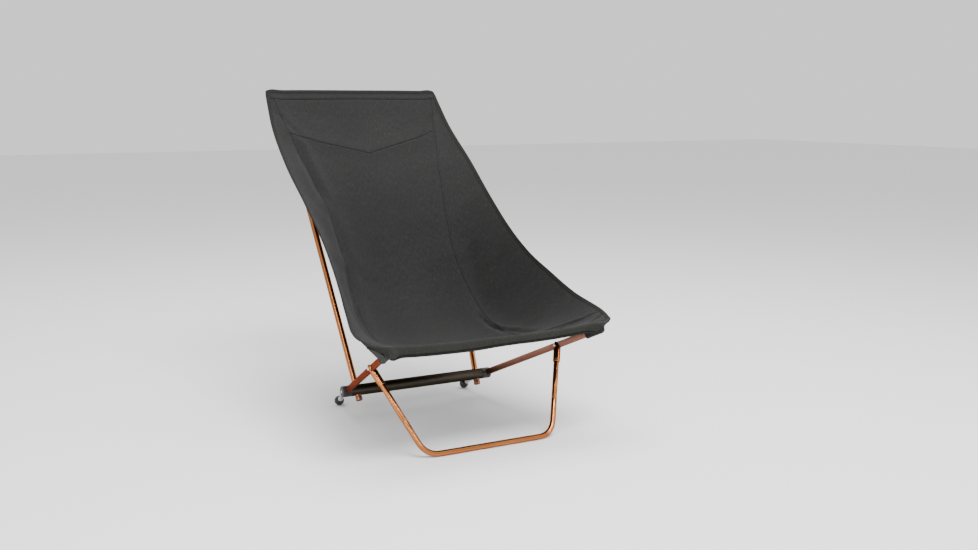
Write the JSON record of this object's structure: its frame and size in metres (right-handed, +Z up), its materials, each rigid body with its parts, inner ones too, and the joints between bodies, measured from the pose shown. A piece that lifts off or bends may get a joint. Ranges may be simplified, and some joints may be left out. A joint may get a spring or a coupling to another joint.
{
  "type": "ultralight backpacking chair",
  "caption": "Low camp chair with a fabric sling hung between leaning back poles and flat seat rails, on ball feet and a folding U-shaped front leg.",
  "frame": {"origin": "on the ground under the middle of the chair's width and depth", "axes": "+Z up, -Y towards the front of the seat, +X towards the sitter's left"},
  "size_m": [0.6114, 0.8474, 0.7712],
  "materials": {
    "copper_tube": "glossy copper anodised tube",
    "rail_metal": "satin copper-brown anodised bar",
    "crossbar_metal": "satin gunmetal anodised tube",
    "steel": "turned and plated fixings",
    "black_plastic": "moulded black nylon",
    "ball_plastic": "glossy black nylon ball",
    "sling_fabric": "charcoal heathered woven polyester",
    "edge_tape": "near-black folded binding tape",
    "elastic_cord": "braided stretch cord"
  },
  "bodies": {
    "seat": {"seat_panel": "sling_fabric", "front_hem": "edge_tape", "left_rail_hub": "black_plastic", "left_hub_bearing": "black_plastic", "left_hub_screw": "steel", "left_seat_rail": "rail_metal", "left_rail_tip_cap": "black_plastic", "left_foot_stem": "steel", "left_ball_foot": "ball_plastic", "left_seat_wing": "sling_fabric", "left_seat_binding": "edge_tape", "left_front_pocket": "edge_tape", "right_rail_hub": "black_plastic", "right_hub_bearing": "black_plastic", "right_hub_screw": "steel", "right_seat_rail": "rail_metal", "right_rail_tip_cap": "black_plastic", "right_foot_stem": "steel", "right_ball_foot": "ball_plastic", "right_seat_wing": "sling_fabric", "right_seat_binding": "edge_tape", "right_front_pocket": "edge_tape"},
    "back": {"crossbar_tube": "crossbar_metal", "top_hem": "edge_tape", "headrest_yoke": "sling_fabric", "back_panel": "sling_fabric", "left_lower_back_pole": "copper_tube", "left_upper_back_pole": "copper_tube", "left_pole_foot_cap": "rail_metal", "left_pole_ferrule": "steel", "left_pole_top_cap": "black_plastic", "left_pole_shock_cord": "elastic_cord", "left_back_wing": "sling_fabric", "left_back_binding": "edge_tape", "left_top_pocket": "edge_tape", "right_lower_back_pole": "copper_tube", "right_upper_back_pole": "copper_tube", "right_pole_foot_cap": "rail_metal", "right_pole_ferrule": "steel", "right_pole_top_cap": "black_plastic", "right_pole_shock_cord": "elastic_cord", "right_back_wing": "sling_fabric", "right_back_binding": "edge_tape", "right_top_pocket": "edge_tape"},
    "front_leg": {"front_leg_bar": "copper_tube", "left_leg_sleeve": "copper_tube", "left_leg_pivot_rivet": "steel", "left_upper_leg_tube": "copper_tube", "right_leg_sleeve": "copper_tube", "right_leg_pivot_rivet": "steel", "right_upper_leg_tube": "copper_tube"}
  },
  "joints": [
    {"name": "back_fold", "type": "hinge", "parent": "seat", "child": "back", "pos_m": [0, -0.0021, 0.058], "axis": [1, 0, 0], "range_deg": [0, 70], "deforming": ["top_hem", "headrest_yoke", "back_panel", "seat_panel", "front_hem", "left_back_wing", "left_seat_wing", "left_back_binding", "left_seat_binding", "left_top_pocket", "left_front_pocket", "right_back_wing", "right_seat_wing", "right_back_binding", "right_seat_binding", "right_top_pocket", "right_front_pocket"]},
    {"name": "front_leg_fold", "type": "hinge", "parent": "seat", "child": "front_leg", "pos_m": [0, -0.2745, 0.181], "axis": [1, 0, 0], "range_deg": [0, 65]}
  ]
}
